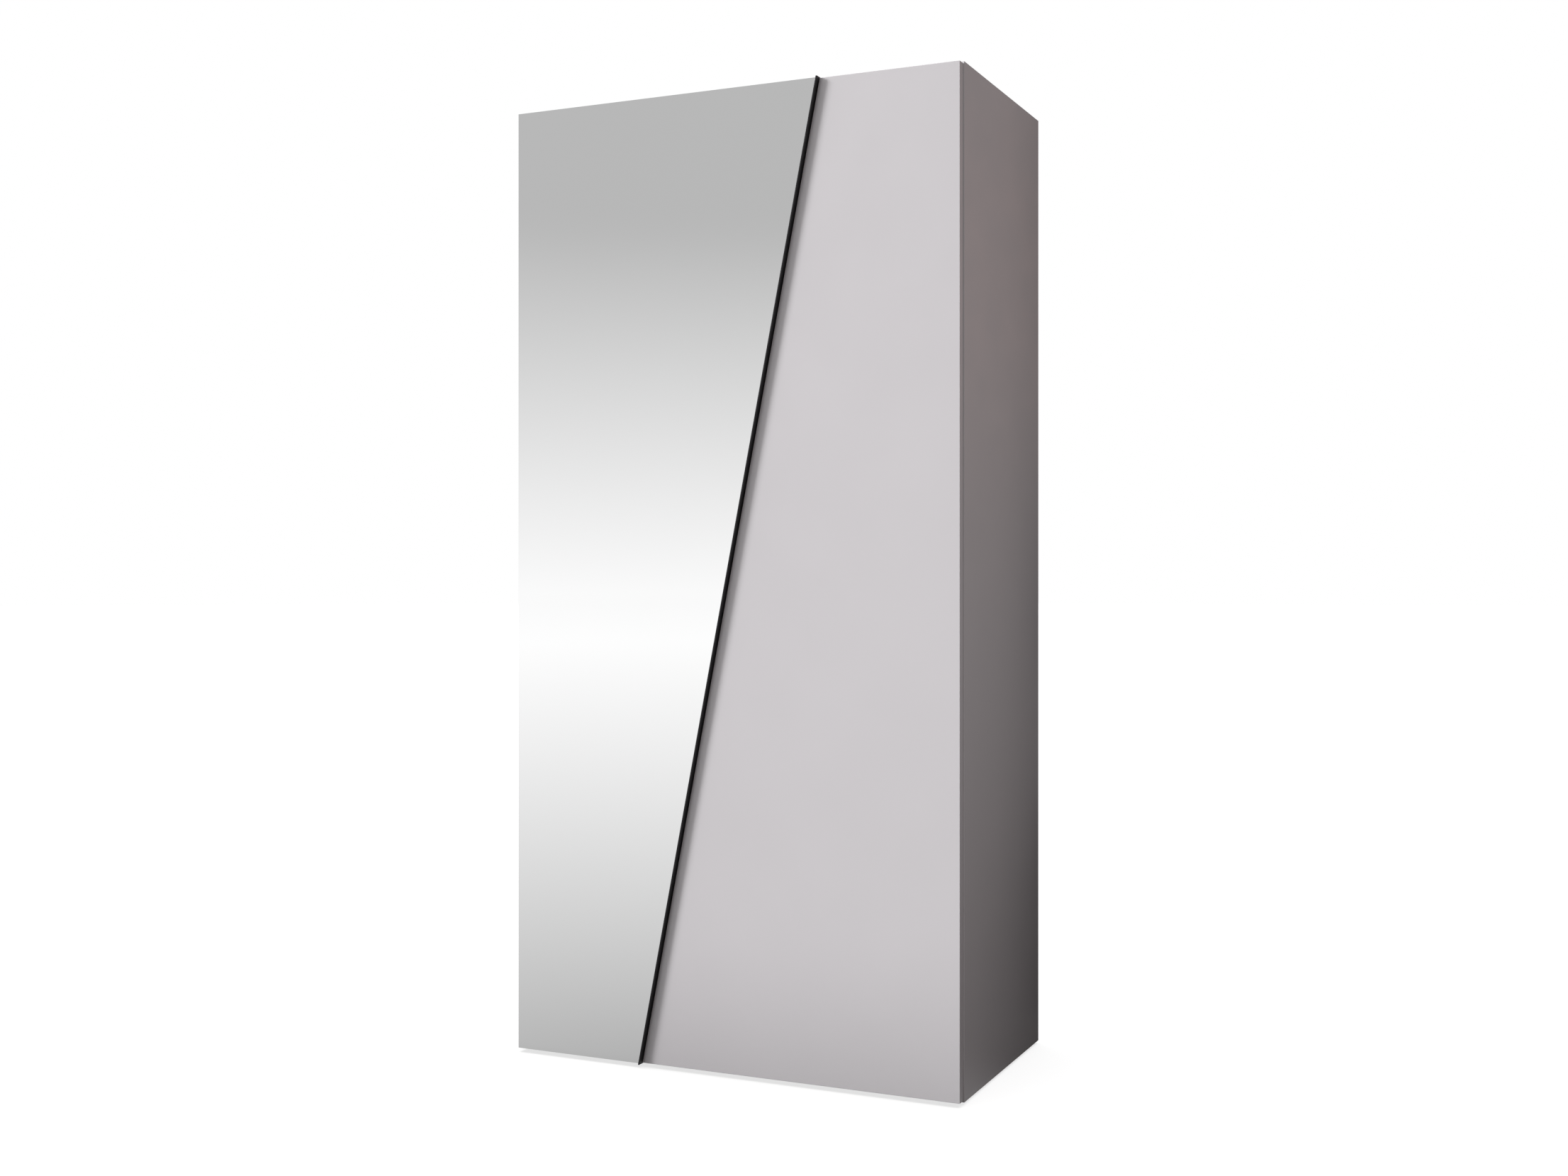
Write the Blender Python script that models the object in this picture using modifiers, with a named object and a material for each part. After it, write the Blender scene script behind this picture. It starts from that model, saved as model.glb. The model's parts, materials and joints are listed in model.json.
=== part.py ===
"""Two-door armoire whose doors meet on a slant: a mirrored left door and a lacquered right door.

Run it in Blender 4.5. Metres, +Z up, the doors face -Y, and the origin is the bottom centre of the
bounding box. Each object is one piece of the furniture, and each moving piece hangs on an empty
that lies on the axis it turns about.

The concealed hinges are drawn in a plan of their own: u runs inboard from the door's outer edge,
and w runs from the door's back face into the carcass. The door's back face is w = 0.
"""

import math

import bmesh
import bpy
from mathutils import Matrix, Vector

# Carcass
CARCASS_WIDTH = 1.130
CARCASS_HEIGHT = 2.280
CARCASS_DEPTH = 0.570
BOARD = 0.018
FLOOR_GAP = 0.006
PLINTH_HEIGHT = 0.060
BACK_THICKNESS = 0.008
BACK_RECESS = 0.010
JOINT_GAP = 0.0003
EDGE_ROUND = 0.0008
BEVEL_ANGLE = math.radians(40)
SMOOTH_ANGLE = math.radians(35)
MERGE_DISTANCE = 0.00001
SIDES = ((-1, "left"), (1, "right"))

# Doors
DOOR_SIDE_REVEAL = 0.0018
DOOR_TOP_REVEAL = 0.0048
DOOR_BOTTOM_REVEAL = 0.0040
DOOR_TO_CARCASS = 0.0035
LEFT_PANEL_THICKNESS = 0.026
RIGHT_PANEL_THICKNESS = 0.022
MIRROR_THICKNESS = 0.004
SEAM_RUN = 0.4547
SEAM_SHIFT = 0.0030
SEAM_GAP = 0.0018

# Handle profile, an aluminium strip along the mirrored door's slanted edge
PROFILE_PROUD = 0.0050
PROFILE_FACE = 0.0034
PROFILE_WEB = 0.0020
PROFILE_OVERRUN = 0.0025
PROFILE_ROUND = 0.0004

# Interior
SHELF_UNDERSIDE = 1.962
SHELF_THICKNESS = 0.022
SHELF_SETBACK = 0.030
RAIL_DROP = 0.067
RAIL_HEIGHT = 0.030
RAIL_WIDTH = 0.015
RAIL_WALL = 0.0012
SOCKET_WALL = 0.0030
SOCKET_DEPTH = 0.014
PIN_RADIUS = 0.0025
PIN_HOLE_DEPTH = 0.010
PIN_REACH = 0.010
PIN_INSET = 0.050

# Base
PLINTH_SETBACK = 0.006
FOOT_INSET = 0.055
FOOT_BASE_RADIUS = 0.020
FOOT_STEM_RADIUS = 0.006
FOOT_PLATE_RADIUS = 0.026
FOOT_BASE_HEIGHT = 0.008
FOOT_PLATE_HEIGHT = 0.004

# Concealed hinges
HINGE_HEIGHTS = (0.120, 0.780, 1.500, 2.160)
AXIS_U = 0.008
AXIS_W = -0.012
CUP_CENTRE_U = 0.0225
CUP_RADIUS = 0.0175
CUP_DEPTH = 0.012
CUP_WALL = 0.0019
CUP_RIM = 0.0015
CUP_BORE_OVERCUT = 0.004
WING_LENGTH = 0.064
WING_WIDTH = 0.018
WING_SCREW_SPACING = 0.048
SCREW_HEAD_RADIUS = 0.0035
SCREW_HEAD_HEIGHT = 0.0015
SCREW_HEAD_MIDDLE = SCREW_HEAD_HEIGHT / 4
LINK_PIVOT = Vector((0.0332, -0.0043))
LINK_TIP = Vector((0.0123, -0.0053))
LINK_BULGE = 0.0035
LINK_BENDS = (0.25, 0.85)
LINK_THICKNESS = 0.0028
LINK_WIDTH = 0.0086
LINK_BARREL_RADIUS = 0.0026
LINK_PIN_RADIUS = 0.0010
CHEEK_RADIUS = 0.0030
CHEEK_THICKNESS = 0.0012
ARM_WIDTH = 0.015
ARM_FRONT = 0.0032
ARM_REAR = 0.078
ARM_FOOT_U = 0.0210
ARM_TOP_U = 0.0362
ARM_SHEET = 0.0012
ARM_SCREWS_W = (0.030, 0.058)
PLATE_THICKNESS = 0.0024
PLATE_SCREW_SETBACK = 0.037
PLATE_SCREW_SPACING = 0.032
PLATE_HALF_WIDTH = 0.009
PLATE_WING_HALF_HEIGHT = 0.026
PLATE_WING_HALF_LENGTH = 0.008
SPINE_HALF_WIDTH = 0.005
SPINE_TOP_U = 0.030

# Door bumpers
BUMPER_RADIUS = 0.004
BUMPER_FROM_SEAM = 0.060

# Derived places
INNER_X = CARCASS_WIDTH / 2 - BOARD
TOP_Z = FLOOR_GAP + CARCASS_HEIGHT
FLOOR_BOARD_TOP = FLOOR_GAP + PLINTH_HEIGHT + BOARD
LEFT_DOOR_DEPTH = LEFT_PANEL_THICKNESS + JOINT_GAP + MIRROR_THICKNESS + PROFILE_PROUD
TOTAL_DEPTH = LEFT_DOOR_DEPTH + DOOR_TO_CARCASS + CARCASS_DEPTH
FRONT_Y = -TOTAL_DEPTH / 2
BACK_Y = TOTAL_DEPTH / 2
CARCASS_FRONT_Y = BACK_Y - CARCASS_DEPTH
DOOR_BACK_Y = CARCASS_FRONT_Y - DOOR_TO_CARCASS
MIRROR_FRONT_Y = FRONT_Y + PROFILE_PROUD
BACK_PANEL_FRONT_Y = BACK_Y - BACK_RECESS - BACK_THICKNESS
DOOR_EDGE_X = CARCASS_WIDTH / 2 - DOOR_SIDE_REVEAL
DOOR_BOTTOM = FLOOR_GAP + DOOR_BOTTOM_REVEAL
DOOR_TOP = TOP_Z - DOOR_TOP_REVEAL
SIDE_INNER_U = DOOR_EDGE_X - INNER_X
CAVITY_RADIUS = CUP_RADIUS - CUP_WALL


# Scene and material helpers


def clear_scene():
    for old in list(bpy.data.objects):
        bpy.data.objects.remove(old, do_unlink=True)


def new_collection(name):
    collection = bpy.data.collections.new(name)
    bpy.context.scene.collection.children.link(collection)
    return collection


def make_material(name, colour, roughness, metallic=0.0):
    material = bpy.data.materials.new(name)
    material.use_nodes = True
    shader = material.node_tree.nodes["Principled BSDF"]
    shader.inputs["Base Color"].default_value = (*colour, 1.0)
    shader.inputs["Roughness"].default_value = roughness
    shader.inputs["Metallic"].default_value = metallic
    return material


def place(name, mesh, material, location=(0, 0, 0)):
    """Link a mesh as one named piece of the armoire."""
    obj = bpy.data.objects.new(name, mesh)
    obj.location = location
    if not mesh.materials:
        mesh.materials.append(material)
    PIECES.objects.link(obj)
    return obj


def mesh_from(bm, name):
    mesh = bpy.data.meshes.new(name)
    bm.to_mesh(mesh)
    bm.free()
    return mesh


# Shape helpers: each returns a mesh about its own origin


def box_mesh(name, size):
    bm = bmesh.new()
    bmesh.ops.create_cube(bm, size=1.0, matrix=Matrix.Diagonal((*size, 1.0)))
    return mesh_from(bm, name)


def cylinder_mesh(name, radius, length, axis="Z", segments=24):
    turn = {
        "X": Matrix.Rotation(math.pi / 2, 4, "Y"),
        "Y": Matrix.Rotation(math.pi / 2, 4, "X"),
        "Z": Matrix.Identity(4),
    }[axis]
    bm = bmesh.new()
    bmesh.ops.create_cone(
        bm, cap_ends=True, segments=segments, radius1=radius, radius2=radius, depth=length, matrix=turn
    )
    return mesh_from(bm, name)


def outline_mesh(name, outlines, thickness, upright=False):
    """A flat plate from closed outlines, the first its edge and the rest its holes.

    The outlines lie in local X and Y. An upright plate stands in X and Z instead.
    """
    curve = bpy.data.curves.new(name, "CURVE")
    curve.dimensions = "2D"
    curve.fill_mode = "BOTH"
    curve.extrude = thickness / 2
    for outline in outlines:
        spline = curve.splines.new("POLY")
        spline.points.add(len(outline) - 1)
        spline.use_cyclic_u = True
        for point, (x, y) in zip(spline.points, outline):
            point.co = (x, y, 0.0, 1.0)
    guide = bpy.data.objects.new(name, curve)
    bpy.context.scene.collection.objects.link(guide)
    mesh = baked_mesh(guide, name)
    bm = bmesh.new()
    bm.from_mesh(mesh)
    bmesh.ops.remove_doubles(bm, verts=bm.verts, dist=MERGE_DISTANCE)
    if upright:
        bmesh.ops.rotate(bm, verts=bm.verts, matrix=Matrix.Rotation(math.pi / 2, 3, "X"))
    bmesh.ops.recalc_face_normals(bm, faces=bm.faces)
    bm.to_mesh(mesh)
    bm.free()
    return mesh


def draft(name, mesh):
    """A helper object to build a shape on, before baked_mesh turns it into a mesh of its own."""
    obj = bpy.data.objects.new(name, mesh)
    bpy.context.scene.collection.objects.link(obj)
    return obj


def baked_mesh(obj, name):
    """The evaluated mesh of a helper object, which is then removed with its own cutters."""
    bpy.context.view_layer.update()
    graph = bpy.context.evaluated_depsgraph_get()
    mesh = bpy.data.meshes.new_from_object(obj.evaluated_get(graph))
    mesh.name = name
    cutters = [modifier.object for modifier in obj.modifiers if modifier.type == "BOOLEAN"]
    for used in [obj, *cutters]:
        bpy.data.objects.remove(used, do_unlink=True)
    return mesh


def stadium(length, width, steps=6):
    """A slot-shaped outline: length along X, width along Y, with half-round ends."""
    radius = width / 2
    reach = length / 2 - radius
    points = []
    for side, start in ((1, -math.pi / 2), (-1, math.pi / 2)):
        for step in range(steps + 1):
            angle = start + math.pi * step / steps
            points.append((side * reach + radius * math.cos(angle), radius * math.sin(angle)))
    return points


def round_edges(obj, width=EDGE_ROUND, segments=2):
    bevel = obj.modifiers.new("rounded_edges", "BEVEL")
    bevel.width = width
    bevel.segments = segments
    bevel.limit_method = "ANGLE"
    bevel.angle_limit = BEVEL_ANGLE


def smooth(mesh):
    mesh.shade_smooth()
    mesh.set_sharp_from_angle(angle=SMOOTH_ANGLE)


def combine(obj, mesh, location, operation):
    """Cut a mesh from a piece, or add it to the piece."""
    cutter = bpy.data.objects.new(obj.name + "_cutter", mesh)
    cutter.location = location
    cutter.hide_render = True
    cutter.display_type = "WIRE"
    CUTTERS.objects.link(cutter)
    boolean = obj.modifiers.new(operation.lower(), "BOOLEAN")
    boolean.object = cutter
    boolean.operation = operation
    boolean.solver = "EXACT"


def board(name, low, high, material=None):
    """A rounded box between two corners, such as a carcass board."""
    low, high = Vector(low), Vector(high)
    piece = place(name, box_mesh(name, high - low), material or INTERIOR, (low + high) / 2)
    round_edges(piece)
    return piece


def turned_mesh(name, profile, segments=24):
    """A solid turned about Z: the profile's (radius, height) points run down its outer side."""
    bm = bmesh.new()
    points = [bm.verts.new((radius, 0.0, height)) for radius, height in profile]
    for first, second in zip(points, points[1:]):
        bm.edges.new((first, second))
    outline = draft(name, mesh_from(bm, name))
    screw = outline.modifiers.new("turned", "SCREW")
    screw.steps = segments
    screw.render_steps = segments
    screw.use_merge_vertices = True
    screw.merge_threshold = MERGE_DISTANCE
    mesh = baked_mesh(outline, name)
    smooth(mesh)
    return mesh


def pivot(name, location):
    empty = bpy.data.objects.new(name, None)
    empty.location = location
    empty.empty_display_size = 0.05
    PIECES.objects.link(empty)
    return empty


def hang(piece, axis):
    """Parent a piece to the empty on its axis, leaving it where it is."""
    piece.parent = axis
    piece.location = Vector(piece.location) - Vector(axis.location)


# Carcass


def make_side(name, side):
    middle_y = (CARCASS_FRONT_Y + BACK_Y) / 2
    centre = (side * (CARCASS_WIDTH - BOARD) / 2, middle_y, FLOOR_GAP + CARCASS_HEIGHT / 2)
    panel = place(name, box_mesh(name, (BOARD, CARCASS_DEPTH, CARCASS_HEIGHT)), LACQUER, centre)
    round_edges(panel)
    hole_length = PIN_HOLE_DEPTH + BOARD
    for y in pin_places():
        hole = cylinder_mesh("pin_hole", PIN_RADIUS + JOINT_GAP, hole_length, "X", 12)
        hole_x = side * (INNER_X + PIN_HOLE_DEPTH - hole_length / 2)
        combine(panel, hole, (hole_x, y, pin_height()), "DIFFERENCE")


def make_boards():
    inner = INNER_X - JOINT_GAP
    board("top_panel", (-inner, CARCASS_FRONT_Y, TOP_Z - BOARD), (inner, BACK_Y, TOP_Z), LACQUER)
    board(
        "bottom_panel",
        (-inner, CARCASS_FRONT_Y, FLOOR_GAP + PLINTH_HEIGHT),
        (inner, BACK_Y, FLOOR_BOARD_TOP),
    )
    for name, front in (
        ("plinth_front", CARCASS_FRONT_Y + PLINTH_SETBACK),
        ("plinth_rear", BACK_Y - PLINTH_SETBACK - BOARD),
    ):
        top = FLOOR_GAP + PLINTH_HEIGHT - JOINT_GAP
        board(name, (-inner, front, FLOOR_GAP), (inner, front + BOARD, top), LACQUER)
    board(
        "back_panel",
        (-inner, BACK_PANEL_FRONT_Y, FLOOR_BOARD_TOP + JOINT_GAP),
        (inner, BACK_PANEL_FRONT_Y + BACK_THICKNESS, TOP_Z - BOARD - JOINT_GAP),
    )
    board(
        "hat_shelf",
        (-inner, CARCASS_FRONT_Y + SHELF_SETBACK, SHELF_UNDERSIDE),
        (inner, BACK_PANEL_FRONT_Y - JOINT_GAP, SHELF_UNDERSIDE + SHELF_THICKNESS),
    )


def pin_height():
    return SHELF_UNDERSIDE - JOINT_GAP - PIN_RADIUS


def pin_places():
    return CARCASS_FRONT_Y + SHELF_SETBACK + PIN_INSET, BACK_PANEL_FRONT_Y - PIN_INSET


def make_shelf_pins():
    """Turned steel pins, each plugged into a blind hole in a side and reaching under the shelf."""
    profile = [
        (0.0, PIN_REACH),
        (PIN_RADIUS, PIN_REACH),
        (PIN_RADIUS, JOINT_GAP - PIN_HOLE_DEPTH),
        (0.0, JOINT_GAP - PIN_HOLE_DEPTH),
    ]
    for side, side_name in SIDES:
        for y, depth_name in zip(pin_places(), ("front", "rear")):
            name = f"shelf_pin_{side_name}_{depth_name}"
            pin = place(name, turned_mesh(name, profile, 12), STEEL, (side * INNER_X, y, pin_height()))
            pin.rotation_euler = (0, -side * math.pi / 2, 0)


def make_hanging_rail():
    """An oval steel tube that ends in a socket on each side."""
    rail_z = SHELF_UNDERSIDE - RAIL_DROP
    rail_y = (CARCASS_FRONT_Y + BACK_PANEL_FRONT_Y) / 2
    rail_end = INNER_X - JOINT_GAP - SOCKET_WALL - JOINT_GAP
    outer = stadium(RAIL_HEIGHT, RAIL_WIDTH)
    bore = stadium(RAIL_HEIGHT - 2 * RAIL_WALL, RAIL_WIDTH - 2 * RAIL_WALL)
    tube = outline_mesh("hanging_rail", [outer, bore], 2 * rail_end)
    smooth(tube)
    rail = place("hanging_rail", tube, STEEL, (0, rail_y, rail_z))
    rail.rotation_euler = (0, math.pi / 2, 0)
    socket_outer = stadium(RAIL_HEIGHT + 2 * SOCKET_WALL, RAIL_WIDTH + 2 * SOCKET_WALL)
    socket_inner = stadium(RAIL_HEIGHT + 2 * JOINT_GAP, RAIL_WIDTH + 2 * JOINT_GAP)
    for side, side_name in SIDES:
        name = f"rail_socket_{side_name}"
        centre_x = side * (INNER_X - JOINT_GAP - SOCKET_DEPTH / 2)
        block = outline_mesh(name, [socket_outer], SOCKET_DEPTH)
        socket = place(name, block, STEEL, (centre_x, rail_y, rail_z))
        socket.rotation_euler = (0, math.pi / 2, 0)
        hollow = outline_mesh("socket_hollow", [socket_inner], SOCKET_DEPTH)
        hollow.transform(Matrix.Rotation(math.pi / 2, 4, "Y"))
        combine(socket, hollow, (centre_x - side * SOCKET_WALL, rail_y, rail_z), "DIFFERENCE")


def make_feet():
    """Levelling feet under the bottom board, between the plinths, each with a plate, a stem and a glide."""
    top = FLOOR_GAP + PLINTH_HEIGHT - JOINT_GAP
    profile = [
        (0.0, top),
        (FOOT_PLATE_RADIUS, top),
        (FOOT_PLATE_RADIUS, top - FOOT_PLATE_HEIGHT),
        (2 * FOOT_STEM_RADIUS, top - 2 * FOOT_PLATE_HEIGHT),
        (2 * FOOT_STEM_RADIUS, top - PLINTH_HEIGHT / 2),
        (FOOT_STEM_RADIUS, top - PLINTH_HEIGHT / 2),
        (FOOT_STEM_RADIUS, 2 * FOOT_BASE_HEIGHT),
        (FOOT_BASE_RADIUS, FOOT_BASE_HEIGHT),
        (FOOT_BASE_RADIUS, 0.0),
        (0.0, 0.0),
    ]
    for side, side_name in SIDES:
        x = side * (INNER_X - FOOT_INSET)
        for y, depth_name in ((CARCASS_FRONT_Y + FOOT_INSET, "front"), (BACK_Y - FOOT_INSET, "rear")):
            name = f"levelling_foot_{side_name}_{depth_name}"
            place(name, turned_mesh(name, profile), BLACK_PLASTIC, (x, y, 0.0))


def make_bumpers():
    """Soft pads on the carcass's front edges, where the closed doors come to rest."""
    length = DOOR_TO_CARCASS - 2 * JOINT_GAP
    y = CARCASS_FRONT_Y - DOOR_TO_CARCASS / 2
    for height_name, z in (
        ("top", TOP_Z - BOARD / 2 - DOOR_TOP_REVEAL / 2),
        ("bottom", FLOOR_BOARD_TOP - BOARD / 2),
    ):
        for side, side_name in SIDES:
            name = f"door_bumper_{side_name}_{height_name}"
            pad = cylinder_mesh(name, BUMPER_RADIUS, length, "Y", 16)
            smooth(pad)
            place(name, pad, SILICONE, (seam_x(z) + side * BUMPER_FROM_SEAM, y, z))


# Doors


def seam_x(z):
    """Middle of the slanted gap between the two doors at height z."""
    share = (z - DOOR_BOTTOM) / (DOOR_TOP - DOOR_BOTTOM)
    return SEAM_SHIFT + SEAM_RUN * (share - 0.5)


def trapezoid(outer_x, seam_offset):
    """A door's outline in X and Z, from its outer edge to a line beside the seam."""
    return [
        (outer_x, DOOR_BOTTOM),
        (seam_x(DOOR_BOTTOM) + seam_offset, DOOR_BOTTOM),
        (seam_x(DOOR_TOP) + seam_offset, DOOR_TOP),
        (outer_x, DOOR_TOP),
    ]


def door_sheet(name, outline, front_y, thickness, material, edge):
    sheet = outline_mesh(name, [outline], thickness, upright=True)
    piece = place(name, sheet, material, (0, front_y + thickness / 2, 0))
    round_edges(piece, edge)
    return piece


def bore_for_cups(panel, side):
    """Blind holes in the door's back face, one for each hinge cup."""
    x = side * (DOOR_EDGE_X - CUP_CENTRE_U)
    floor_y = DOOR_BACK_Y - CUP_DEPTH - JOINT_GAP
    length = CUP_DEPTH + JOINT_GAP + CUP_BORE_OVERCUT
    for z in HINGE_HEIGHTS:
        bore = cylinder_mesh("cup_bore", CUP_RADIUS + JOINT_GAP, length, "Y", 32)
        combine(panel, bore, (x, floor_y + length / 2, z), "DIFFERENCE")


def make_left_door(axis):
    sheet_edge = -(SEAM_GAP / 2 + PROFILE_WEB + JOINT_GAP)
    outline = trapezoid(-DOOR_EDGE_X, sheet_edge)
    front_y = DOOR_BACK_Y - LEFT_PANEL_THICKNESS
    panel = door_sheet("left_door_panel", outline, front_y, LEFT_PANEL_THICKNESS, LACQUER, EDGE_ROUND)
    bore_for_cups(panel, -1)
    mirror = door_sheet("mirror_glass", outline, MIRROR_FRONT_Y, MIRROR_THICKNESS, MIRROR, EDGE_ROUND / 2)
    profile = make_handle_profile()
    for piece in (panel, mirror, profile):
        hang(piece, axis)


def make_handle_profile():
    """The black strip: a web down the door's slanted edge, and a lip proud of the mirror."""
    right = -SEAM_GAP / 2
    web_left = right - PROFILE_WEB
    face_left = right - PROFILE_FACE
    lip_back = MIRROR_FRONT_Y - JOINT_GAP
    section = [
        (face_left, FRONT_Y),
        (right, FRONT_Y),
        (right, DOOR_BACK_Y),
        (web_left, DOOR_BACK_Y),
        (web_left, lip_back),
        (face_left, lip_back),
    ]
    bottom = DOOR_BOTTOM - PROFILE_OVERRUN
    top = DOOR_TOP + PROFILE_OVERRUN
    bm = bmesh.new()
    corners = [bm.verts.new((seam_x(bottom) + x, y, bottom)) for x, y in section]
    base = bm.faces.new(corners)
    grown = bmesh.ops.extrude_face_region(bm, geom=[base])
    upper = [item for item in grown["geom"] if isinstance(item, bmesh.types.BMVert)]
    bmesh.ops.translate(bm, verts=upper, vec=(seam_x(top) - seam_x(bottom), 0, top - bottom))
    bmesh.ops.recalc_face_normals(bm, faces=bm.faces)
    profile = place("handle_profile", mesh_from(bm, "handle_profile"), BLACK_METAL)
    round_edges(profile, PROFILE_ROUND)
    return profile


def make_right_door(axis):
    outline = trapezoid(DOOR_EDGE_X, SEAM_GAP / 2)
    front_y = DOOR_BACK_Y - RIGHT_PANEL_THICKNESS
    panel = door_sheet("right_door_panel", outline, front_y, RIGHT_PANEL_THICKNESS, LACQUER, EDGE_ROUND)
    bore_for_cups(panel, 1)
    hang(panel, axis)


# Concealed hinges, drawn in (u, w, z) about the door's outer back edge at the hinge's height


def add_screw_head(obj, centre, axis, length=SCREW_HEAD_HEIGHT):
    combine(obj, cylinder_mesh("screw_head", SCREW_HEAD_RADIUS, length, axis, 12), centre, "UNION")


def cup_mesh():
    """A pressed cup with a rim, two wings and their screws."""
    cup_height = CUP_DEPTH + CUP_RIM
    middle_w = CUP_RIM - cup_height / 2
    cup = draft("hinge_cup", cylinder_mesh("hinge_cup", CUP_RADIUS, cup_height, "Y", 32))
    cup.location = (CUP_CENTRE_U, middle_w, 0)
    wing_outline = [(across, along) for along, across in stadium(WING_LENGTH, WING_WIDTH)]
    wings = outline_mesh("wings", [wing_outline], CUP_RIM, upright=True)
    combine(cup, wings, (CUP_CENTRE_U, CUP_RIM / 2 + JOINT_GAP / 2, 0), "UNION")
    cavity_depth = cup_height - CUP_WALL
    cavity = cylinder_mesh("cavity", CAVITY_RADIUS, cavity_depth + CUP_RIM, "Y", 32)
    cavity_w = CUP_WALL - CUP_DEPTH + (cavity_depth + CUP_RIM) / 2
    combine(cup, cavity, (CUP_CENTRE_U, cavity_w, 0), "DIFFERENCE")
    for end in (-1, 1):
        head = (CUP_CENTRE_U, CUP_RIM + SCREW_HEAD_MIDDLE, end * WING_SCREW_SPACING / 2)
        add_screw_head(cup, head, "Y")
    return shared(cup)


def shared(obj):
    """Bake a draft, with its place in its mesh, so that several pieces can share it."""
    place_matrix = Matrix.Translation(obj.location)
    mesh = baked_mesh(obj, obj.name)
    mesh.transform(place_matrix)
    smooth(mesh)
    return mesh


def link_centreline(samples=8):
    """A cubic curve from the arm's pivot to the tip in the cup, bowed towards the cup's floor."""
    run = LINK_TIP - LINK_PIVOT
    away = Vector((-run.y, run.x)).normalized() * LINK_BULGE
    bows = [LINK_PIVOT + share * run + away for share in LINK_BENDS]
    bends = [LINK_PIVOT, *bows, LINK_TIP]
    line = []
    for step in range(samples + 1):
        t = step / samples
        weights = ((1 - t) ** 3, 3 * t * (1 - t) ** 2, 3 * t * t * (1 - t), t**3)
        line.append(sum((weight * bend for weight, bend in zip(weights, bends)), Vector((0, 0))))
    return line


def link_mesh():
    """The curved link that ties the arm to the cup, with a barrel round the arm's pin."""
    line = link_centreline()
    half = LINK_THICKNESS / 2
    near, far = [], []
    for index, point in enumerate(line):
        ahead = line[min(index + 1, len(line) - 1)] - line[max(index - 1, 0)]
        across = Vector((-ahead.y, ahead.x)).normalized() * half
        near.append(tuple(point + across))
        far.append(tuple(point - across))
    link = draft("hinge_link", outline_mesh("hinge_link", [near + far[::-1]], LINK_WIDTH))
    for centre, radius in ((LINK_PIVOT, LINK_BARREL_RADIUS), (LINK_TIP, half)):
        barrel = cylinder_mesh("barrel", radius, LINK_WIDTH, "Z", 16)
        combine(link, barrel, (*centre, 0), "UNION")
    eye = cylinder_mesh("eye", LINK_PIN_RADIUS + JOINT_GAP, 2 * LINK_WIDTH, "Z", 16)
    combine(link, eye, (*LINK_PIVOT, 0), "DIFFERENCE")
    return shared(link)


def arm_mesh():
    """A pressed channel that clips over the mounting plate, with two cheeks and a pin for the link."""
    length = ARM_REAR - ARM_FRONT
    height = ARM_TOP_U - ARM_FOOT_U
    centre = Vector(((ARM_TOP_U + ARM_FOOT_U) / 2, (ARM_REAR + ARM_FRONT) / 2, 0))
    arm = draft("hinge_arm", box_mesh("hinge_arm", (height, length, ARM_WIDTH)))
    arm.location = centre
    hollow = box_mesh("hollow", (height, length - 2 * ARM_SHEET, ARM_WIDTH - 2 * ARM_SHEET))
    combine(arm, hollow, centre - Vector((ARM_SHEET, 0, 0)), "DIFFERENCE")
    cheek_length = ARM_FRONT + ARM_SHEET - LINK_PIVOT.y
    cheek = outline_mesh("cheek", [cheek_outline(cheek_length)], CHEEK_THICKNESS)
    cheek_z = LINK_WIDTH / 2 + JOINT_GAP + CHEEK_THICKNESS / 2
    for end in (-1, 1):
        combine(arm, cheek.copy(), (*LINK_PIVOT, end * cheek_z), "UNION")
    pin = cylinder_mesh("pin", LINK_PIN_RADIUS, 2 * cheek_z, "Z", 16)
    combine(arm, pin, (*LINK_PIVOT, 0), "UNION")
    for w in ARM_SCREWS_W:
        add_screw_head(arm, (ARM_TOP_U + SCREW_HEAD_MIDDLE, w, 0), "X")
    return shared(arm)


def cheek_outline(length, steps=8):
    """A tongue from the arm's front down to a half round about the link's pivot."""
    points = [(CHEEK_RADIUS, length), (-CHEEK_RADIUS, length)]
    for step in range(steps + 1):
        angle = math.pi + math.pi * step / steps
        points.append((CHEEK_RADIUS * math.cos(angle), CHEEK_RADIUS * math.sin(angle)))
    return points


def plate_mesh():
    """A cross-shaped mounting plate with a raised spine and two screws into the side."""
    plate_w = DOOR_TO_CARCASS + PLATE_SCREW_SETBACK
    low_u = SIDE_INNER_U + JOINT_GAP
    top_u = low_u + PLATE_THICKNESS
    base_u = (low_u + top_u) / 2
    base_length = 2 * (ARM_REAR - 3 * ARM_SHEET - plate_w)
    base = box_mesh("hinge_plate", (PLATE_THICKNESS, base_length, 2 * PLATE_HALF_WIDTH))
    plate = draft("hinge_plate", base)
    plate.location = (base_u, plate_w, 0)
    wing_size = (PLATE_THICKNESS, 2 * PLATE_WING_HALF_LENGTH, 2 * PLATE_WING_HALF_HEIGHT)
    combine(plate, box_mesh("wing", wing_size), (base_u, plate_w, 0), "UNION")
    spine_height = SPINE_TOP_U - base_u
    spine = box_mesh("spine", (spine_height, base_length - 6 * ARM_SHEET, 2 * SPINE_HALF_WIDTH))
    combine(plate, spine, (base_u + spine_height / 2, plate_w, 0), "UNION")
    for end in (-1, 1):
        head = (top_u + SCREW_HEAD_MIDDLE, plate_w, end * PLATE_SCREW_SPACING / 2)
        add_screw_head(plate, head, "X")
    return shared(plate)


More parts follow.
